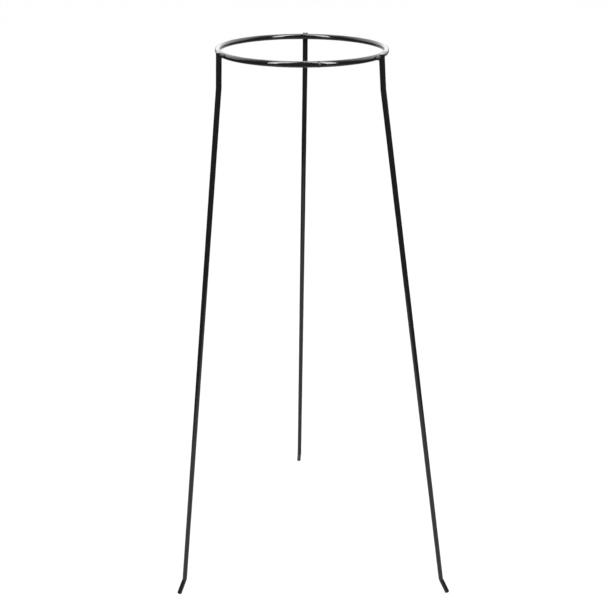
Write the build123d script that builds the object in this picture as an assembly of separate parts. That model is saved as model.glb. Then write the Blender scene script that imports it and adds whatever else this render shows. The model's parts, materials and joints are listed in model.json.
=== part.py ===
"""Tripod stand of welded round bar.

A bar rolled into a ring sits level on three bent legs. Each leg stands against the
outside of the ring, drops almost straight to a first bend, splays out down a long
shank and turns outward once more in a short foot. Two weld beads hold each leg to the
ring, one on either side of it, and one more weld closes the ring.

Millimetres and degrees. +Z is up. The origin is on the floor, on the ring's axis.
Azimuths are measured about +Z from +X, so 270 degrees is the front of the stand.
"""
from build123d import *

import os
from math import cos, pi, radians, sin, tan

# ---- driving dimensions ----------------------------------------------------------

# The ring, and the height of the whole stand.
RING_OUTSIDE_DIAMETER = 203.2
RING_BAR_DIAMETER = 6.35
OVERALL_HEIGHT = 762.0

# The weld that closes the ring: where it is, the gap between the bar's two ends, how
# far the bead laps over each end and how far it stands out from the bar.
RING_SEAM_AZIMUTH = 280.0
RING_SEAM_GAP = 2.0
SEAM_LAP = 1.2
SEAM_CROWN = 0.45

# The bar of the legs, and how far their cut tops stand above the ring.
LEG_BAR_DIAMETER = 6.35
LEG_TOP_ABOVE_RING = 1.0
LEG_END_ROUND = 0.45

# The shape that all three legs share: angles from the vertical, the drop from the
# ring's middle to the first bend, the foot's length along the bar and bend radii
# measured to the middle of the bar.
NECK_LEAN = 3.35
SHANK_SPLAY = 7.9
FOOT_SPLAY = 26.0
NECK_DROP = 34.0
FOOT_LENGTH = 23.8
NECK_BEND_RADIUS = 45.0
FOOT_BEND_RADIUS = 15.0

# How the legs are set round the ring. A leg's plane doesn't quite pass through the
# ring's axis, and each leg is welded on with a small tilt of its own.
LEG_TURN = -2.4
LEG_PLANE_TWIST = 8.4
LEG_AZIMUTHS = {"left": 210.0, "right": 330.0, "rear": 90.0}
LEG_TILTS = {"left": 0.0, "right": 2.1, "rear": -1.0}

# The beads that hold a leg: the root gap they fill, their radius, and how far a bead's
# centre lies out from the ring's bar and aside from the leg's bar.
WELD_ROOT_GAP = 0.1
WELD_RADIUS = 3.1
WELD_OUT = 0.7
WELD_ASIDE = 0.4

# ---- sizes that follow from them -------------------------------------------------

ring_bar_radius = RING_BAR_DIAMETER / 2
leg_bar_radius = LEG_BAR_DIAMETER / 2
ring_radius = RING_OUTSIDE_DIAMETER / 2 - ring_bar_radius
ring_height = OVERALL_HEIGHT - LEG_TOP_ABOVE_RING - ring_bar_radius


def level_direction(azimuth):
    """Unit vector along the floor at an azimuth."""
    return Vector(cos(radians(azimuth)), sin(radians(azimuth)), 0)


def bar_along(path, radius):
    """Round bar whose middle follows a path."""
    start = Plane(origin=path @ 0, z_dir=path % 0)
    return sweep(start * Circle(radius), path=path)


# ---- the ring and the weld that closes it ----------------------------------------


def ring_stretch(radius, first_azimuth, turn):
    """Part of a level hoop at the ring's height, as a solid of a given bar radius."""
    section = Plane.XZ * Pos(ring_radius, ring_height) * Circle(radius)
    hoop = revolve(section, axis=Axis.Z, revolution_arc=turn)
    return Rot(0, 0, first_azimuth) * hoop


def degrees_of_ring(length):
    """Angle that a length of the ring's middle line takes up."""
    return length / ring_radius * 180 / pi


def make_ring():
    """The rolled bar, open by the width of its seam."""
    gap = degrees_of_ring(RING_SEAM_GAP)
    return ring_stretch(ring_bar_radius, RING_SEAM_AZIMUTH + gap / 2, 360 - gap)


def make_ring_weld(ring):
    """The closing bead: it fills the seam and laps over both ends of the bar."""
    width = degrees_of_ring(RING_SEAM_GAP + 2 * SEAM_LAP)
    first = RING_SEAM_AZIMUTH - width / 2
    bead = ring_stretch(ring_bar_radius + SEAM_CROWN, first, width)
    rims = bead.edges().filter_by(GeomType.CIRCLE).sort_by(SortBy.RADIUS)[:2]
    bead = fillet(rims, 0.8 * min(SEAM_CROWN, SEAM_LAP))
    return bead - ring


# ---- the legs --------------------------------------------------------------------


def end_reach(lean):
    """Height of a leaning leg's eased cut edge above, or below, the end's middle."""
    return (leg_bar_radius - LEG_END_ROUND) * sin(lean) + LEG_END_ROUND * (1 - cos(lean))


def leg_corners(azimuth, tilt):
    """Corners of a leg's middle line, from its top to its toe."""
    neck = radians(NECK_LEAN + tilt)
    shank = radians(SHANK_SPLAY + tilt)
    foot = radians(FOOT_SPLAY + tilt)
    along = level_direction(azimuth + LEG_PLANE_TWIST)

    reach = (ring_bar_radius + leg_bar_radius + WELD_ROOT_GAP) / cos(neck)
    at_ring = level_direction(azimuth) * (ring_radius + reach)
    rise = ring_bar_radius + LEG_TOP_ABOVE_RING - end_reach(neck)

    toe_height = end_reach(foot)
    knee_height = toe_height + FOOT_LENGTH * cos(foot)
    bend_height = ring_height - NECK_DROP

    top_out = -rise * tan(neck)
    bend_out = NECK_DROP * tan(neck)
    knee_out = bend_out + (bend_height - knee_height) * tan(shank)
    toe_out = knee_out + FOOT_LENGTH * sin(foot)

    outs = [top_out, bend_out, knee_out, toe_out]
    heights = [ring_height + rise, bend_height, knee_height, toe_height]
    return [at_ring + along * out + Vector(0, 0, up) for out, up in zip(outs, heights)]


def make_leg(azimuth, tilt):
    """One leg: a bar bent twice, cut square at both ends, with its cut edges eased."""
    corners = leg_corners(azimuth, tilt)
    path = FilletPolyline(*corners, radius=[NECK_BEND_RADIUS, FOOT_BEND_RADIUS])
    leg = bar_along(path, leg_bar_radius)
    ends = leg.edges().filter_by(GeomType.CIRCLE).sort_by(Axis.Z)
    return fillet([ends[0], ends[-1]], LEG_END_ROUND)


# ---- the beads between the legs and the ring -------------------------------------


def make_leg_welds(azimuth, ring, leg):
    """Two beads in the corners between a leg and the ring, one either side of it."""
    out = ring_radius + ring_bar_radius + WELD_OUT
    aside = leg_bar_radius + WELD_ASIDE
    beads = []
    for side in (-aside, aside):
        ball = Rot(0, 0, azimuth) * Pos(out, side, ring_height) * Sphere(WELD_RADIUS)
        bead = ball - ring - leg
        beads += bead.solids()
    return Compound(children=beads)


# ---- the stand -------------------------------------------------------------------

os.makedirs("parts", exist_ok=True)

top_ring = make_ring()
export_step(top_ring, "parts/top_ring.step")
export_step(make_ring_weld(top_ring), "parts/ring_seam_weld.step")

for place, base_azimuth in LEG_AZIMUTHS.items():
    leg_azimuth = base_azimuth + LEG_TURN
    bent_leg = make_leg(leg_azimuth, LEG_TILTS[place])
    welds = make_leg_welds(leg_azimuth, top_ring, bent_leg)
    export_step(bent_leg, f"parts/leg_{place}.step")
    export_step(welds, f"parts/weld_{place}.step")
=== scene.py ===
# %% [markdown]
# # A tripod stand welded from round bar
# The stand is a small ring of black round bar on three long bent legs. Each leg stands
# against the outside of the ring and two weld beads hold it there. One more weld closes
# the ring, and a black gloss coating covers everything, welds and all.
#
# The measured model comes first and stays fixed. It says where every piece is and how
# large it may be. This lesson makes the pieces again as fine surfaces with the small
# marks of rolling, bending, sawing and welding, and gives them a worked coating.

# %% Load the measured model
import json

import bpy
import numpy as np
from mathutils import Matrix, Vector


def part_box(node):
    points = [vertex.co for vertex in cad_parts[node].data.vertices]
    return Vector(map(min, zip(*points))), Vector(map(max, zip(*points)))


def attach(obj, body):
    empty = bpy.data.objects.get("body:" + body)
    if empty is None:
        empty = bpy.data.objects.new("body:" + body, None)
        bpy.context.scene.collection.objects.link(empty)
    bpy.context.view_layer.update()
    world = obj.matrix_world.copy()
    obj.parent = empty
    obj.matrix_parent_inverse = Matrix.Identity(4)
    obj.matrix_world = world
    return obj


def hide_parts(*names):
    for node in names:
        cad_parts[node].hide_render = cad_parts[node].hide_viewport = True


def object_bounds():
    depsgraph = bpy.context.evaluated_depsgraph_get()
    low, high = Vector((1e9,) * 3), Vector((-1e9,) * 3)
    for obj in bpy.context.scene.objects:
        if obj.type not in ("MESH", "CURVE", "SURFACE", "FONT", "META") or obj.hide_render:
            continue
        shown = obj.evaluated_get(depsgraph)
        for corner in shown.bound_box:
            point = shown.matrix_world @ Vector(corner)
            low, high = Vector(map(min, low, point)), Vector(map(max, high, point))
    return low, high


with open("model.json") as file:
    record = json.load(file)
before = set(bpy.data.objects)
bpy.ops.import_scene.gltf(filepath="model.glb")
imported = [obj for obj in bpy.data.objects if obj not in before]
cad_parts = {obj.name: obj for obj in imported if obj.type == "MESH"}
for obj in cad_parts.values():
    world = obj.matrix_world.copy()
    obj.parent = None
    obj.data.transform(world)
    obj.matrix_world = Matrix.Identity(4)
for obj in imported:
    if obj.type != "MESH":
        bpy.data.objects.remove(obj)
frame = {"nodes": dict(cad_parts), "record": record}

record = frame["record"]
mounts = {mount["name"]: mount for mount in record["mounts"]}
cad_low, cad_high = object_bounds()
print("nodes:", sorted(frame["nodes"]))
print("size in mm:", [round(1000 * side, 1) for side in cad_high - cad_low])

# %% [markdown]
# ## Measures read from the model
# The ring lies level, so its box gives everything about it: the box's height is the
# bar's diameter, and half its width is the ring's outside radius. The legs are of bar
# too, and their toe mounts in the record say how thick it is, where each toe is and
# which way it points. Reading these numbers keeps the picture and the model together:
# if the model changes, the picture follows. The model is of bare steel, and a baked
# coating adds a little over a tenth of a millimetre to it all round. The dressing is how
# far a file has rounded the rims of the sawn ends.

# %% Measures of the ring and the bar
ring_low, ring_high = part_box("top_ring")
ring_bar = (ring_high.z - ring_low.z) / 2
ring_level = (ring_high.z + ring_low.z) / 2
ring_radius = (ring_high.x - ring_low.x) / 2 - ring_bar
leg_bar = mounts["toe_left"]["dims"]["r_mm"] / 1000
coat = 0.00014
ring_dressing = 0.0003
leg_dressing = 0.00045
sizes = {"ring radius": ring_radius, "bar radius": ring_bar, "level": ring_level}
print("in mm:", {name: round(1000 * size, 3) for name, size in sizes.items()})

# %% [markdown]
# ## A skin over a grid of points
# Every piece here is a closed tube: a round profile carried along a line. On a grid,
# one direction runs along the line and the other runs round it. A tube could come from
# a curve with a bevel, but a curve can't swell at a weld or flatten at a bend. Working
# out all the points as one array keeps the whole shape in a formula, and the faces are
# just neighbours on the grid. A single point closes each end.

# %% Turn a grid of points into a mesh
def grid_faces(rows, columns):
    """Faces of a tube of points: each one joins a point, the next round, and the same
    two of the next row. Fans of triangles join the first and last rows to two poles."""
    row, column = np.meshgrid(np.arange(rows - 1), np.arange(columns), indexing="ij")
    beside = (column + 1) % columns
    corners = (row * columns + column, row * columns + beside)
    corners += ((row + 1) * columns + beside, (row + 1) * columns + column)
    quads = np.stack(corners, axis=-1).reshape(-1, 4)
    here = np.arange(columns)
    after = (here + 1) % columns
    first_pole = rows * columns
    last_row = (rows - 1) * columns
    start = np.stack([np.full(columns, first_pole), after, here], axis=-1)
    end = np.stack([np.full(columns, first_pole + 1), last_row + here, last_row + after], axis=-1)
    return quads, np.concatenate([start, end])


def closed_tube(points):
    """One closed tube: its points with the two poles, which are the middles of the
    end rows, and its faces."""
    rows, columns = points.shape[:2]
    poles = np.stack([points[0].mean(axis=0), points[-1].mean(axis=0)])
    quads, fans = grid_faces(rows, columns)
    return np.concatenate([points.reshape(-1, 3), poles]), quads, fans


def make_piece(name, tubes, facts=None):
    """A mesh object at the origin from several closed tubes. facts holds one number a
    point, poles included, for each named attribute."""
    points, faces, start = [], [], 0
    for tube in tubes:
        places, quads, fans = closed_tube(tube)
        points.append(places)
        faces += (quads + start).tolist() + (fans + start).tolist()
        start += len(places)
    mesh = bpy.data.meshes.new(name)
    mesh.from_pydata(np.concatenate(points).tolist(), [], faces)
    mesh.polygons.foreach_set("use_smooth", np.ones(len(mesh.polygons), bool))
    for label, values in (facts or {}).items():
        attribute = mesh.attributes.new(label, "FLOAT", "POINT")
        attribute.data.foreach_set("value", values.astype(np.float32))
    mesh.update()
    piece = bpy.data.objects.new(name, mesh)
    bpy.context.scene.collection.objects.link(piece)
    return piece


def with_poles(grid):
    """A grid of numbers laid out like a tube's points, with the end rows' mean for the
    two poles."""
    return np.concatenate([grid.ravel(), [grid[0].mean(), grid[-1].mean()]])


# %% [markdown]
# ## Small unevenness
# Rolled bar is never quite round or straight: passing through the rolls leaves long
# shallow waves, and the coating smooths only the finest of them. A few sine waves of
# different lengths, each winding round the bar a different number of times, give that
# look without random jumps. Seeded random numbers make the same waves every time.

# %% Waves along and round a bar
def rolled_waves(along, turn, depth, seed, longest=0.12, shortest=0.018, count=9):
    """Sum of sine waves: each is depth / sqrt(count) times the sine of (distance along
    over its wave length, plus a whole number times the angle round, plus a phase)."""
    dice = np.random.default_rng(seed)
    lengths = np.geomspace(longest, shortest, count) * dice.uniform(0.85, 1.15, count)
    winds = dice.integers(0, 4, count)
    phases = dice.uniform(0, 2 * np.pi, count)
    angle = 2 * np.pi * along[:, None, None] / lengths + winds * turn[None, :, None] + phases
    return depth / np.sqrt(count) * np.sin(angle).sum(axis=-1)


# %% [markdown]
# ## A sawn and bent bar
# A length of bar starts with a saw cut, whose sharp rim was dressed with a file before
# coating. The rim is a quarter circle between the flat face and the long side. Walking
# along the profile of the bar from the middle of one face to the middle of the other
# gives pairs of numbers: how far along, and how far out. Turning that profile about the
# bar's middle line makes the surface, ends included.

# %% Profile of a bar with dressed ends
def bar_profile(length, radius, dressing, step):
    """Distance along and distance out for each row, from one end's middle to the
    other's. On a dressed rim they are dressing * (1 - cos t) and
    radius - dressing + dressing * sin t, with t from 0 to a right angle."""
    rows = 8
    face = np.linspace(0.12, 0.97, rows) * (radius - dressing)
    t = np.linspace(0, np.pi / 2, rows)
    rim_along = dressing * (1 - np.cos(t))
    rim_out = radius - dressing + dressing * np.sin(t)
    middle = np.linspace(dressing, length - dressing, round(length / step))[1:-1]
    along = [np.zeros_like(face), rim_along, middle]
    along += [length - rim_along[::-1], np.full_like(face, length)]
    out = [face, rim_out, np.full_like(middle, radius), rim_out[::-1], face[::-1]]
    return np.concatenate(along), np.concatenate(out)


def near_ends(along, length, reach):
    """1 at both ends of a bar, falling to nothing: exp(-(distance from end / reach)^2)."""
    first = np.exp(-((along / reach) ** 2))
    last = np.exp(-(((length - along) / reach) ** 2))
    return first + last


def bar_skin(line, along, out, turn):
    """Each point is the line's place at its distance along, plus its distance out
    times (cos of the angle * sideways + sin of the angle * crossways)."""
    place, sideways, crossways = line(along)
    rounds = np.cos(turn)[None, :, None] * sideways[:, None, :]
    rounds = rounds + np.sin(turn)[None, :, None] * crossways[:, None, :]
    return place[:, None, :] + out[:, :, None] * rounds


# %% [markdown]
# ## The ring
# A shop rolls the bar between three rollers until its ends meet. The rollers press
# shallow flats on the bar's outer and inner sides and leave fine lines round the ring.
# A torus primitive has the right outline but none of this, and no ends to weld. So the
# ring is one long bar on a circular line, open by the width of its seam. The box of the
# seam weld tells where that seam is.

# %% Where the ring's seam is
seam_low, seam_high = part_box("ring_seam_weld")
seam_middle = (seam_low + seam_high) / 2
seam_azimuth = np.arctan2(seam_middle.y, seam_middle.x)
seam_gap = 0.002
seam_start = seam_azimuth + seam_gap / 2 / ring_radius
print("seam azimuth in degrees:", round(float(np.degrees(seam_azimuth)) % 360, 1))


def ring_line(first, radius):
    """A level circle: at a distance along, the angle is first + distance / radius.
    Sideways points outward and crossways points down."""

    def line(along):
        angle = first + along / radius
        outward = np.stack([np.cos(angle), np.sin(angle), np.zeros_like(angle)], axis=-1)
        middle = radius * outward + np.array([0, 0, ring_level])
        down = np.zeros_like(outward)
        down[:, 2] = -1
        return middle, outward, down

    return line


# %% Make the ring's bar
wave_depth, flat_depth = 0.000035, 0.00003
turn = np.linspace(0, 2 * np.pi, 56, endpoint=False)
ring_length = 2 * np.pi * ring_radius - seam_gap
along, out = bar_profile(ring_length, ring_bar + coat, ring_dressing, 0.0015)
waves = rolled_waves(along, turn, wave_depth, seed=11)
flats = -flat_depth * np.cos(2 * turn)[None, :] ** 3
swell = (out / (ring_bar + coat))[:, None]
out_grid = out[:, None] + (waves + flats) * swell
ring_points = bar_skin(ring_line(seam_start, ring_radius), along, out_grid, turn)
edge = with_poles(np.zeros_like(out_grid))
ring_piece = make_piece("ring_bar", [ring_points], {"dressed_edge": edge})
print("ring:", len(ring_piece.data.polygons), "faces")

# %% [markdown]
# ## The line of a leg
# A leg is bent cold in a simple bender, twice and in one plane. From the toe upward it
# has a short foot, a tight bend, a long shank, an easy bend and a short neck beside the
# ring. The record gives the toe's place and direction. Everything above follows from
# the two bend angles, the foot's length and the drop of the upper bend. Following the
# lean of the bar is easier than joining arcs by hand: on a straight run the lean stays,
# along a bend it changes evenly, and adding up small steps draws the whole line.

# %% The maker's bending dimensions
foot_length = 0.0238
foot_bend, foot_bend_radius = np.radians(18.1), 0.015
neck_bend, neck_bend_radius = np.radians(4.55), 0.045
neck_drop = 0.034
line_points = 6001


def rim_height(lean):
    """How far the dressed rim of a leaning end reaches above or below its middle:
    (bar - dressing) * sin(lean) + dressing * (1 - cos(lean))."""
    return (leg_bar - leg_dressing) * np.sin(lean) + leg_dressing * (1 - np.cos(lean))


# %% Lean of a leg at every distance from its toe
def leg_leans(mount):
    """Leans of foot, shank and neck, from the toe's direction and the two bends."""
    foot = np.arccos(-mount["axis"][2])
    return foot, foot - foot_bend, foot - foot_bend - neck_bend


def bend_marks(mount):
    """Distances from the toe where each bend starts and ends, and the whole length.
    A bend takes radius * tan(half its angle) from both of the runs it joins."""
    foot, shank, neck = leg_leans(mount)
    knee_level = rim_height(foot) + foot_length * np.cos(foot)
    bend_level = ring_level - neck_drop
    top_level = cad_high.z - rim_height(neck)
    shank_length = (bend_level - knee_level) / np.cos(shank)
    neck_length = (top_level - bend_level) / np.cos(neck)
    low_cut = foot_bend_radius * np.tan(foot_bend / 2)
    high_cut = neck_bend_radius * np.tan(neck_bend / 2)
    runs = [foot_length - low_cut, foot_bend_radius * foot_bend]
    runs += [shank_length - low_cut - high_cut, neck_bend_radius * neck_bend]
    runs += [neck_length - high_cut]
    return np.cumsum(runs)


def leg_line(mount):
    """The leg's middle line, from its toe up. The place is the toe plus the running sum
    of small steps of (inward * sin lean + up * cos lean)."""
    foot, shank, neck = leg_leans(mount)
    marks = bend_marks(mount)
    axis = np.array(mount["axis"])
    toe = np.array(mount["pos_m"]) + axis * (mount["pos_m"][2] - rim_height(foot)) / -axis[2]
    inward = -axis * np.array([1, 1, 0])
    inward = inward / np.linalg.norm(inward)
    sideways = np.cross(inward, [0, 0, 1])
    fine = np.linspace(0, marks[-1], line_points)
    lean = np.interp(fine, marks[:4], [foot, shank, shank, neck])
    step = fine[1] - fine[0]
    half_lean = (lean[1:] + lean[:-1]) / 2
    across = np.concatenate([[0], np.cumsum(np.sin(half_lean)) * step])
    upward = np.concatenate([[0], np.cumsum(np.cos(half_lean)) * step])

    def line(along):
        here = np.interp(along, fine, lean)[:, None]
        over = np.interp(along, fine, across)[:, None]
        height = np.interp(along, fine, upward)[:, None]
        place = toe + over * inward + height * np.array([0, 0, 1])
        heading = np.sin(here) * inward + np.cos(here) * np.array([0, 0, 1])
        side = np.broadcast_to(sideways, place.shape)
        return place, side, np.cross(heading, side)

    return line


# %% [markdown]
# ## The bar of a leg
# Where the bender gripped and turned the bar, its section is a little oval: the outer
# side is drawn thin, the inner side is pressed, and the two sides bulge. The forming
# tool also leaves a faint shallow band where each bend begins. At the toe the coating
# ran down before it set and left a slightly thicker lip, and under it the face still
# shows the strokes of the saw. A bevelled curve would lose all of these.

# %% Marks of the bender, the saw and the coating
def bend_squeeze(along, turn, marks, depth):
    """Change of radius at the bends: depth * cos(twice the angle round) weighted by a
    smooth hump over each bend, less half the depth in a faint band past it, where the
    tool pressed. The easy upper bend counts for about a third of the tight one."""
    band_away, band_width = 0.003, 0.0016
    change = np.zeros((len(along), len(turn)))
    for begin, finish, strength in ((marks[0], marks[1], 1.0), (marks[2], marks[3], 0.35)):
        middle, half = (begin + finish) / 2, (finish - begin) / 2
        hump = np.exp(-(((along - middle) / (1.3 * half)) ** 4))[:, None]
        band = np.exp(-(((along - finish - band_away) / band_width) ** 2))[:, None]
        press = np.clip(np.sin(turn), 0, 1)[None, :] ** 2
        change += strength * depth * (hump * np.cos(2 * turn)[None, :] - 0.5 * band * press)
    return change


def saw_strokes(out, turn, depth, seed):
    """Fine parallel lines over a face, as a sine of the distance across the strokes,
    which wander a little along their length. The seed turns them on the face."""
    spacing, wander, wander_rate = 0.00055, 0.4, 900
    across = out[:, None] * np.cos(turn + seed)[None, :]
    along = out[:, None] * np.sin(turn + seed)[None, :]
    return depth * np.sin(2 * np.pi * (across / spacing + wander * np.sin(wander_rate * along)))


def run_down_lip(along):
    """The lip of coating just above the toe: height * exp(-((along - place) / width)^2)."""
    height, place, width = 0.00008, 0.0009, 0.0008
    return height * np.exp(-(((along - place) / width) ** 2))[:, None]


# %% Make the three legs
wave_depth, squeeze_depth, stroke_depth = 0.00003, 0.00013, 0.000025
thin_reach = 0.0009


def make_leg(place, seed):
    """One leg's piece with its attribute of dressed rims, its line, and the distances
    where its bends start and end, which the welds need too."""
    mount = mounts["toe_" + place]
    marks = bend_marks(mount)
    line = leg_line(mount)
    turn = np.linspace(0, 2 * np.pi, 44, endpoint=False)
    along, out = bar_profile(marks[-1], leg_bar + coat, leg_dressing, 0.0018)
    swell = (out / (leg_bar + coat))[:, None]
    change = rolled_waves(along, turn, wave_depth, seed) + run_down_lip(along)
    change = change + bend_squeeze(along, turn, marks, squeeze_depth)
    points = bar_skin(line, along, out[:, None] + change * swell, turn)
    flat = out < leg_bar + coat - leg_dressing
    face = (np.minimum(along, marks[-1] - along) < 1e-9) & flat
    strokes = saw_strokes(out, turn, stroke_depth, seed) * face[:, None]
    points[:, :, 2] += strokes * np.where(along < marks[-1] / 2, -1, 1)[:, None]
    points[:, :, 2] = np.clip(points[:, :, 2], cad_low.z, cad_high.z)
    thin = near_ends(along, marks[-1], thin_reach)[:, None]
    edge = with_poles(np.broadcast_to(thin, change.shape))
    piece = make_piece("leg_bar_" + place, [points], {"dressed_edge": edge})
    return piece, line, marks


legs = {}
for number, place in enumerate(("left", "right", "rear")):
    legs[place] = make_leg(place, 31 + number)
    node_low, node_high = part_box("leg_" + place)
    corners = np.array([tuple(v.co) for v in legs[place][0].data.vertices])
    miss = max(abs(corners.min(0) - node_low).max(), abs(corners.max(0) - node_high).max())
    print(place, "leg:", len(corners), "points, farthest from its box in mm:", round(1000 * miss, 3))

# %% [markdown]
# ## Weld beads beside the legs
# Two crossing round bars touch at one point and leave a notch on either side of it. A
# short bead fills each notch. Molten metal piles up in overlapping crescents while the
# torch moves up, and at its rim it wets out onto both bars. The bead could be carved by
# hand or joined with booleans. Here it is a rounded lump whose radius depends on the
# direction from its middle: ripples and a few lumps swell it, and where its surface
# comes close to a bar it flares, so the coated join looks like one skin.

# %% Sizes of the beads and drops
bead_radius = 0.0029
bead_out, bead_aside = 0.0007, 0.0004
ripple_depth, lump_depth, flare_depth = 0.032, 0.05, 0.13
flare_reach = 0.0005
drop_sizes, drop_spread, below_bead = (0.00018, 0.00034), (0.001, 0.0045), 0.004
print("bead radius over bar radius:", round(bead_radius / leg_bar, 3))

# %% Distances from the bars, for the flare
def gap_to_ring(points):
    """Distance from the ring's surface: how far a point is from the ring's middle
    circle, less the radius of the bar."""
    level = np.hypot(points[..., 0], points[..., 1]) - ring_radius
    return np.hypot(level, points[..., 2] - ring_level) - ring_bar - coat


def gap_to_leg(points, start, heading):
    """Distance from a leg's surface: the length of the part of (point - start) that is
    square to the leg's heading, less the radius of the bar."""
    away = points - start
    beside = away - (away @ heading)[..., None] * heading
    return np.linalg.norm(beside, axis=-1) - leg_bar - coat


# %% One bead, and the spatter below it
def directions(rows, columns, from_pole):
    """A grid of unit directions: at angle t from straight up and angle f round it, the
    parts are sin t cos f, sin t sin f and cos t. The angles come back too."""
    t = np.linspace(from_pole, np.pi - from_pole, rows)[:, None]
    f = np.linspace(0, 2 * np.pi, columns, endpoint=False)[None, :]
    parts = [np.sin(t) * np.cos(f), np.sin(t) * np.sin(f), np.cos(t) + 0 * f]
    return t, f, np.stack(parts, axis=-1)


def bead(middle, out_way, side_way, start, heading, seed):
    """A lump round its middle. In the direction at angles t and f, its radius is
    multiplied by 1 + ripples + lumps + flare. The flare grows where the lump's surface
    comes near a bar."""
    dice = np.random.default_rng(seed)
    t, f, parts = directions(54, 60, 0.03)
    ways = parts @ np.stack([side_way, out_way, [0, 0, 1]])
    bow = parts[..., 1] ** 2
    climb = 3.1 * np.cos(t) + 0.8 * bow
    ripples = ripple_depth * np.cos(2 * np.pi * climb + dice.uniform(0, 6)) * np.sin(t)
    a, b = dice.uniform(0, 6, 2)
    lumps = lump_depth * np.sin(2 * f + a) * np.sin(t) ** 2
    lumps = lumps + lump_depth * np.sin(3 * t + f + b) * np.sin(t)
    plain = middle + bead_radius * ways
    gap = np.minimum(gap_to_ring(plain), gap_to_leg(plain, start, heading))
    flare = flare_depth * np.exp(-((gap / flare_reach) ** 2))
    return middle + (bead_radius * (1 + ripples + lumps + flare))[..., None] * ways


def spatter(out_way, side_way, start, heading, seed):
    """Three small drops frozen onto the leg below a joint: each is a little ball sunk
    halfway into the bar, on its outer left or outer right."""
    dice = np.random.default_rng(seed)
    ball = directions(9, 12, 0.1)[2]
    drops = []
    for distance in dice.uniform(*drop_spread, 3):
        side = dice.choice([-1, 1])
        diagonal = (side * side_way + out_way) * leg_bar * 0.7
        on_leg = start - heading * (distance + below_bead) + diagonal
        drops.append(on_leg + dice.uniform(*drop_sizes) * ball)
    return drops


# %% Make the beads of each joint
def make_joint(place, lift, seed):
    """The two beads and the spatter of one leg's joint. The leg's line says where the
    leg passes the ring, and the beads sit on either side of that, raised by the lift.
    The heading is the leg's direction there, from a point a little lower."""
    line, marks = legs[place][1:]
    samples, lower = 400, 40
    middles = line(np.linspace(marks[3], marks[4], samples))[0]
    nearest = np.abs(middles[:, 2] - ring_level).argmin()
    start = middles[nearest]
    heading = start - middles[nearest - lower]
    heading = heading / np.linalg.norm(heading)
    out_way = start * np.array([1, 1, 0])
    out_way = out_way / np.linalg.norm(out_way)
    side_way = np.cross([0, 0, 1], out_way)
    tubes = []
    for number, side in enumerate((-1, 1)):
        middle = out_way * (ring_radius + ring_bar + bead_out)
        middle = middle + side * side_way * (leg_bar + bead_aside)
        middle = middle + np.array([0, 0, ring_level + lift])
        tubes.append(bead(middle, out_way, side_way, start, heading, seed + number))
    tubes += spatter(out_way, side_way, start, heading, seed + 7)
    edges = [with_poles(np.zeros(tube.shape[:2])) for tube in tubes]
    return make_piece("joint_beads_" + place, tubes, {"dressed_edge": np.concatenate(edges)})


joints = {
    "left": make_joint("left", 0.0010, 60),
    "right": make_joint("right", 0.0, 70),
    "rear": make_joint("rear", -0.0010, 80),
}
print("beads:", {place: len(piece.data.polygons) for place, piece in joints.items()})

# %% [markdown]
# ## The weld that closes the ring
# The ring's two ends were butted with a small gap, welded all round and left as a low
# band. It stands proud of the bar by less than half a millimetre, highest in the middle,
# with ripples that lean the way the torch went. It is the ring's bar again over a few
# millimetres, with a profile that rises and falls, so the same skin function makes it.

# %% Make the closing weld
turn = np.linspace(0, 2 * np.pi, 72, endpoint=False)
band_width = 0.0046
band_start = seam_azimuth - band_width / 2 / ring_radius
sunk_rim, crown_height, ripple_height = 0.0002, 0.00042, 0.00006
along = np.linspace(0, band_width, 41)
rise = np.sin(np.pi * along / band_width)
crown = coat - sunk_rim + crown_height * rise**0.7
lag = 20.0 * (along[:, None] / band_width - 0.5) ** 2
ripples = ripple_height * np.sin(9 * turn[None, :] + lag)
lumps = 0.00005 * np.sin(2 * turn[None, :] + 0.7) + 0.00004 * np.sin(5 * turn[None, :] + 2.0)
band = ring_bar + crown[:, None] + (ripples + lumps) * rise[:, None]
band_points = bar_skin(ring_line(band_start, ring_radius), along, band, turn)
edge = with_poles(np.zeros_like(band))
closing_weld = make_piece("ring_closing_weld", [band_points], {"dressed_edge": edge})
print("closing weld:", len(closing_weld.data.polygons), "faces")

# %% [markdown]
# ## Coating: shared effects
# The finish is a black gloss coating over clean steel. Three effects make it real, and
# both coating materials use them, so each is a node group built once. Orange peel is the
# gentle dimpling of a sprayed skin. Handling marks are faint rubs and hairlines, where
# the gloss is duller. Settled dust is the thin grey film that gathers on faces that look
# up and near the ground.

# %% Helpers for node trees
def put(tree, kind, settings=None, **values):
    """Adds a node. A value that is a socket is linked, and any other is set."""
    node = tree.nodes.new(kind)
    node.location = (220 * len(tree.nodes), -60 * (len(tree.nodes) % 7))
    for key, value in (settings or {}).items():
        setattr(node, key, value)
    for key, value in values.items():
        socket = node.inputs[key.replace("_", " ")]
        fill(tree, socket, value)
    return node


def fill(tree, socket, value):
    """Links a socket to another, or sets its value."""
    if isinstance(value, bpy.types.NodeSocket):
        tree.links.new(value, socket)
    else:
        socket.default_value = value


def calc(tree, operation, first, second=0.0, clamp=False):
    """A Math node and its result."""
    node = put(tree, "ShaderNodeMath", {"operation": operation, "use_clamp": clamp})
    fill(tree, node.inputs[0], first)
    fill(tree, node.inputs[1], second)
    return node.outputs[0]


def times(tree, first, second):
    """A product of two values."""
    return calc(tree, "MULTIPLY", first, second)


def scaled(tree, value, factor, base):
    """A value times a factor, plus a base, as one Math node."""
    result = calc(tree, "MULTIPLY_ADD", value, factor)
    result.node.inputs[2].default_value = base
    return result


def soft_step(tree, value, low, high):
    """A Map Range node with a smooth step from 0 at low to 1 at high."""
    settings = {"interpolation_type": "SMOOTHSTEP"}
    node = put(tree, "ShaderNodeMapRange", settings, Value=value, From_Min=low, From_Max=high)
    return node.outputs[0]


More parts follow.
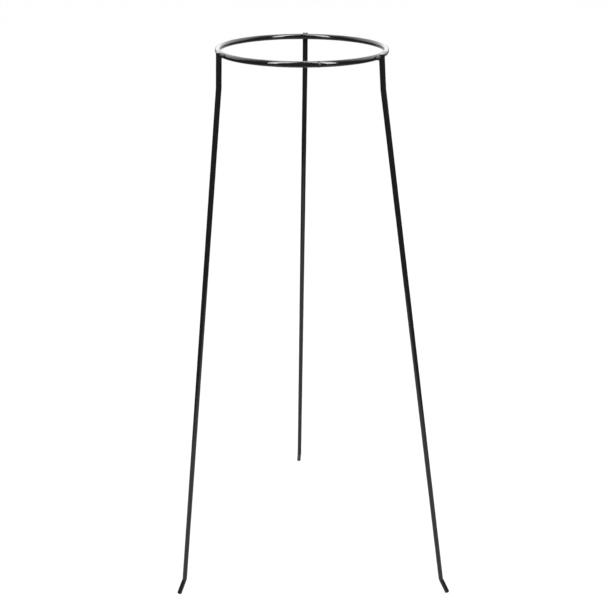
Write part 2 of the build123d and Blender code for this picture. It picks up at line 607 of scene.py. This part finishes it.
def blend(tree, share, first, second, kind="RGBA"):
    """A Mix node: the first colour, or number, where the share is 0 and the second
    where it is 1."""
    node = put(tree, "ShaderNodeMix", {"data_type": kind})
    offset = 6 if kind == "RGBA" else 2
    fill(tree, node.inputs[0], share)
    fill(tree, node.inputs[offset], first)
    fill(tree, node.inputs[offset + 1], second)
    return node.outputs[2 if kind == "RGBA" else 0]


def noise(tree, place, scale, detail=2.0, roughness=0.5):
    """The grey value of a Noise texture."""
    return put(tree, "ShaderNodeTexNoise", Vector=place, Scale=scale, Detail=detail,
               Roughness=roughness).outputs[0]


def stretched(tree, place, scale):
    """A place stretched by a Mapping node, for marks that are longer one way."""
    return put(tree, "ShaderNodeMapping", Vector=place, Scale=scale).outputs[0]


def new_group(name, inputs, outputs):
    """An empty shader group with its named sockets, and its two end nodes."""
    tree = bpy.data.node_groups.new(name, "ShaderNodeTree")
    for label, (kind, value) in inputs.items():
        socket = tree.interface.new_socket(name=label, in_out="INPUT", socket_type=kind)
        if value is not None:
            socket.default_value = value
    for label, kind in outputs.items():
        tree.interface.new_socket(name=label, in_out="OUTPUT", socket_type=kind)
    return tree, tree.nodes.new("NodeGroupInput"), tree.nodes.new("NodeGroupOutput")


# %% Orange peel
NUMBER, PLACE = "NodeSocketFloat", "NodeSocketVector"
inputs = {"Place": (PLACE, None), "Dimples Per Metre": (NUMBER, 380.0), "Long Waves": (NUMBER, 0.35)}
peel, given, result = new_group("orange_peel", inputs, {"Height": NUMBER})
dimples = noise(peel, given.outputs["Place"], given.outputs["Dimples Per Metre"], 1.5, 0.45)
slow_scale = times(peel, given.outputs["Dimples Per Metre"], 0.18)
slow = noise(peel, given.outputs["Place"], slow_scale, 1.0)
slow = times(peel, slow, given.outputs["Long Waves"])
peel.links.new(calc(peel, "ADD", dimples, slow), result.inputs["Height"])

# %% Handling marks
inputs = {"Place": (PLACE, None), "Amount": (NUMBER, 0.5)}
outputs = {"Rubs": NUMBER, "Hairlines": NUMBER}
rubbed, given, result = new_group("handling_marks", inputs, outputs)
broad = noise(rubbed, given.outputs["Place"], 26.0, 3.0, 0.6)
rubs = soft_step(rubbed, broad, 0.5, 0.72)
fine_place = stretched(rubbed, given.outputs["Place"], (900.0, 900.0, 45.0))
fine_noise = noise(rubbed, fine_place, 1.0, 2.0, 0.7)
hairs = times(rubbed, soft_step(rubbed, fine_noise, 0.66, 0.72), rubs)
for label, mask in (("Rubs", rubs), ("Hairlines", hairs)):
    rubbed.links.new(times(rubbed, mask, given.outputs["Amount"]), result.inputs[label])

# %% Settled dust
inputs = {"Place": (PLACE, None), "Amount": (NUMBER, 0.3), "Splash Height": (NUMBER, 0.05)}
dusty, given, result = new_group("settled_dust", inputs, {"Mask": NUMBER})
facing = put(dusty, "ShaderNodeNewGeometry").outputs["Normal"]
up = put(dusty, "ShaderNodeSeparateXYZ", Vector=facing).outputs[2]
height = put(dusty, "ShaderNodeSeparateXYZ", Vector=given.outputs["Place"]).outputs[2]
top_film = soft_step(dusty, up, 0.55, 1.0)
low_film = soft_step(dusty, height, given.outputs["Splash Height"], 0.0)
film = calc(dusty, "MAXIMUM", times(dusty, top_film, 0.5), low_film)
grains = soft_step(dusty, noise(dusty, given.outputs["Place"], 1400.0, 3.0, 0.7), 0.42, 0.7)
clouds = soft_step(dusty, noise(dusty, given.outputs["Place"], 60.0, 3.0, 0.6), 0.35, 0.7)
film = times(dusty, times(dusty, film, grains), clouds)
dusty.links.new(times(dusty, film, given.outputs["Amount"]), result.inputs["Mask"])
print("node groups:", [group.name for group in bpy.data.node_groups])

# %% [markdown]
# ## Coating: the two materials
# Plain bar and welds wear the same coating, but it lies differently on them. On drawn
# bar it flows out smooth and glossy. Over a bead it is thicker in the hollows and the
# scale under it gives a slightly duller, bumpier skin. Black gloss paint has almost no
# colour of its own: what shows is the room in its gloss, so roughness and bump matter
# most. At the dressed rims the coating pulls thin and a hint of brown primer shows.

# %% Make a coating
FULL_BLACK, SOFT_BLACK = (0.0054, 0.0055, 0.0059, 1), (0.0086, 0.0085, 0.0084, 1)
PRIMER_BROWN, DUST_GREY = (0.018, 0.011, 0.008, 1), (0.16, 0.15, 0.135, 1)


def make_coating(name, peel_size, peel_depth, gloss, rub_amount, dust_amount):
    """A black coating. Base colour is a mottled black, half way to primer brown at thin
    rims and dust grey by the dust mask. Roughness is the gloss plus 0.16 of the rubs,
    0.2 of the hairlines and 0.6 of the dust."""
    material = bpy.data.materials.new(name)
    material.use_nodes = True
    tree = material.node_tree
    tree.nodes.clear()
    place = put(tree, "ShaderNodeTexCoord").outputs["Object"]
    skin = put(tree, "ShaderNodeGroup", {"node_tree": peel}, Place=place, Dimples_Per_Metre=peel_size)
    marks = put(tree, "ShaderNodeGroup", {"node_tree": rubbed}, Place=place, Amount=rub_amount)
    dust = put(tree, "ShaderNodeGroup", {"node_tree": dusty}, Place=place, Amount=dust_amount)
    colour = blend(tree, noise(tree, place, 140.0, 3.0), FULL_BLACK, SOFT_BLACK)
    rim = put(tree, "ShaderNodeAttribute", {"attribute_name": "dressed_edge"}).outputs["Fac"]
    thin = soft_step(tree, times(tree, rim, noise(tree, place, 900.0, 2.0)), 0.42, 0.62)
    colour = blend(tree, times(tree, thin, 0.5), colour, PRIMER_BROWN)
    colour = blend(tree, dust.outputs["Mask"], colour, DUST_GREY)
    rough = scaled(tree, marks.outputs["Rubs"], 0.16, gloss)
    rough = calc(tree, "ADD", rough, times(tree, marks.outputs["Hairlines"], 0.2))
    rough = calc(tree, "ADD", rough, times(tree, dust.outputs["Mask"], 0.6), clamp=True)
    bump = put(tree, "ShaderNodeBump", Strength=1.0, Distance=peel_depth, Height=skin.outputs["Height"])
    paint = put(tree, "ShaderNodeBsdfPrincipled", Base_Color=colour, Roughness=rough,
                Normal=bump.outputs[0], IOR=1.5)
    output = put(tree, "ShaderNodeOutputMaterial")
    tree.links.new(paint.outputs[0], output.inputs["Surface"])
    return material


bar_coating = make_coating("black_gloss_on_bar", 380.0, 0.00004, 0.055, 0.5, 0.10)
weld_coating = make_coating("black_gloss_on_weld", 900.0, 0.00006, 0.13, 0.3, 0.12)
print("materials:", bar_coating.name, weld_coating.name)

# %% [markdown]
# ## Dress the pieces and tie them to the model
# Each new piece stands for one node of the measured model, rides on its only body, and
# wears one of the two coatings: the weld coating on welds, the bar coating elsewhere.

# %% Materials and body
pairs = [(ring_piece, "top_ring"), (closing_weld, "ring_seam_weld")]
pairs += [(legs[place][0], "leg_" + place) for place in legs]
pairs += [(joints[place], "weld_" + place) for place in legs]
for piece, node in pairs:
    welded = "weld" in node
    piece.data.materials.append(weld_coating if welded else bar_coating)
    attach(piece, "root")
    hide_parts(node)
print("dressed:", [piece.name for piece, node in pairs])

# %% [markdown]
# ## Floor
# The stand is shown on a plain white studio floor that has no visible edge. For what the
# gloss reflects, light is painted into the floor's grey: a painted pool of light under the
# stand, which shows only where the floor is met steeply, and painted light from the backdrop
# on the floor far behind; the rest is dark. The camera should see white everywhere, so a
# Light Path node gives camera rays a lift, which also keeps the shadows faint.

# %% Make the floor
def floor_with_painted_light(material, lift):
    """Diffuse grey for reflections, with light painted into it: the larger of a painted
    pool of light under the stand and painted backdrop light on the far floor. The pool
    is 0.29 times soft steps aside, ahead and by how steeply it is met. The far light is
    0.6 times soft steps behind and aside, plus 0.045. Camera rays see one pale grey
    instead, plus light of its own, which is the lift."""
    tree = material.node_tree
    tree.nodes.clear()
    place = put(tree, "ShaderNodeTexCoord").outputs["Object"]
    centred = put(tree, "ShaderNodeMapping", Vector=place, Location=(-0.05, 0, 0)).outputs[0]
    parts = put(tree, "ShaderNodeSeparateXYZ", Vector=centred)
    from_middle = calc(tree, "ABSOLUTE", parts.outputs[0])
    aside = soft_step(tree, from_middle, 0.95, 0.5)
    ahead = soft_step(tree, parts.outputs[1], -1.0, -0.64)
    low_angle = put(tree, "ShaderNodeLayerWeight", Blend=0.5).outputs["Facing"]
    steep = soft_step(tree, low_angle, 0.78, 0.5)
    # Painted light: a bright pool under the stand, seen only in reflections where the floor is met
    # steeply.
    painted_light_pool = times(tree, times(tree, times(tree, aside, ahead), steep), 0.29)
    # Painted light: the backdrop's light on the floor far behind, painted into its grey.
    behind = soft_step(tree, parts.outputs[1], 0.4, 3.0)
    painted_backdrop_light = times(tree, behind, soft_step(tree, from_middle, 3.0, 2.0))
    grey_with_painted_light = calc(tree, "MAXIMUM", painted_light_pool, scaled(tree, painted_backdrop_light, 0.6, 0.045))
    ray = put(tree, "ShaderNodeLightPath").outputs["Is Camera Ray"]
    shade = blend(tree, ray, grey_with_painted_light, 0.07, "FLOAT")
    tint = put(tree, "ShaderNodeCombineColor", Red=shade, Green=shade, Blue=shade).outputs[0]
    matt = put(tree, "ShaderNodeBsdfDiffuse", Color=tint).outputs[0]
    glow = put(tree, "ShaderNodeEmission", Strength=times(tree, ray, lift)).outputs[0]
    both = put(tree, "ShaderNodeAddShader")
    tree.links.new(matt, both.inputs[0])
    tree.links.new(glow, both.inputs[1])
    output = put(tree, "ShaderNodeOutputMaterial")
    tree.links.new(both.outputs[0], output.inputs["Surface"])


floor_radius = 30
floor_mesh = bpy.data.meshes.new("studio_floor")
angle = np.linspace(0, 2 * np.pi, 96, endpoint=False)
floor_rim = floor_radius * np.stack([np.cos(angle), np.sin(angle), 0 * angle], axis=-1)
floor_mesh.from_pydata(floor_rim.tolist(), [], [list(range(len(angle)))])
floor = bpy.data.objects.new("studio_floor", floor_mesh)
bpy.context.scene.collection.objects.link(floor)
floor_material = bpy.data.materials.new("studio_floor_white")
floor_material.use_nodes = True
floor_with_painted_light(floor_material, 0.93)
floor_mesh.materials.append(floor_material)
print("floor:", floor.dimensions[:])

# %% [markdown]
# ## Light
# Black gloss shows its surroundings more than its own colour, so the lights are placed
# for their reflections. Two tall soft boxes lean in from the left and the right of the
# camera and draw the long streaks on the ring. A third hangs over the back. A pale
# backdrop behind lights the ring's two ends, and the room on the camera's side is dark,
# which keeps the bars black. The world's colour gives the backdrop and the dark room.

# %% Soft boxes
def soft_box(name, centre, aim, size, brightness):
    """A rectangular light of size (width, height) in metres at a place, facing a point.
    Its watts are brightness times its area times pi."""
    light = bpy.data.lights.new(name, "AREA")
    light.shape = "RECTANGLE"
    light.size, light.size_y = size
    light.energy = brightness * size[0] * size[1] * np.pi
    lamp = bpy.data.objects.new(name, light)
    lamp.location = centre
    lamp.rotation_mode = "QUATERNION"
    lamp.rotation_quaternion = (aim - centre).to_track_quat("-Z", "Y")
    lamp.visible_camera = False
    bpy.context.scene.collection.objects.link(lamp)
    return lamp


ring_centre = Vector((0, 0, ring_level))
aside, away, above = np.radians(37), 1.02, 0.98
tall_size, tall_brightness = (0.36, 2.1), 16.0
for name, side in (("tall_box_left", -1), ("tall_box_right", 1)):
    way = Vector((side * np.sin(aside), -np.cos(aside), 0))
    centre = ring_centre + way * away + Vector((0, 0, above))
    soft_box(name, centre, ring_centre, tall_size, tall_brightness)
over_back = ring_centre + Vector((0, 0.62, 1.7))
soft_box("box_over_back", over_back, ring_centre, (1.1, 0.45), 8.0)

# %% World: pale behind, dark on the camera's side
world = bpy.data.worlds.new("studio_world")
bpy.context.scene.world = world
world.use_nodes = True
tree = world.node_tree
tree.nodes.clear()
way = put(tree, "ShaderNodeTexCoord").outputs["Generated"]
parts = put(tree, "ShaderNodeSeparateXYZ", Vector=way)
behind = soft_step(tree, parts.outputs["Y"], -0.35, 0.25)
above = soft_step(tree, parts.outputs["Z"], -0.12, 0.2)
below_top = soft_step(tree, parts.outputs["Z"], 0.95, 0.75)
backdrop = times(tree, times(tree, behind, above), below_top)
backdrop_glow, room_glow = 2.4, 0.03
room = scaled(tree, backdrop, backdrop_glow, room_glow)
ray = put(tree, "ShaderNodeLightPath").outputs["Is Camera Ray"]
strength = blend(tree, ray, room, 1.0, "FLOAT")
back = put(tree, "ShaderNodeBackground", Color=(1, 1, 1, 1), Strength=strength)
tree.links.new(back.outputs[0], put(tree, "ShaderNodeOutputWorld").inputs["Surface"])

# %% [markdown]
# ## Camera
# The view is from in front and above: just under a metre before the stand's middle, a
# little higher than the ring, and tilted down by about 27 degrees, so the ring is an
# ellipse and the rear leg shows through it. A 46 mm lens on a 36 mm wide sensor takes
# in the whole stand. The plain view transform keeps the white floor white.

# %% Make the camera
def look(yaw, pitch, roll):
    """Rotation of a camera: rolled about its own axis, raised from looking straight
    down to the pitch below level, then turned to the right of +Y by the yaw."""
    level = Matrix.Rotation(np.radians(90 - pitch), 4, "X")
    return Matrix.Rotation(-np.radians(yaw), 4, "Z") @ level @ Matrix.Rotation(np.radians(roll), 4, "Z")


camera_place = (-0.00146, -0.96159, 0.91072)
yaw, pitch, roll = 0.447, 27.086, 0.143
camera = bpy.data.objects.new("camera", bpy.data.cameras.new("camera"))
camera.data.lens = 46.38
camera.data.sensor_width = 36
camera.matrix_world = Matrix.Translation(camera_place) @ look(yaw, pitch, roll)
bpy.context.scene.collection.objects.link(camera)
bpy.context.scene.camera = camera
bpy.context.scene.view_settings.view_transform = "Standard"
print("camera:", [round(v, 4) for v in camera.matrix_world.translation])
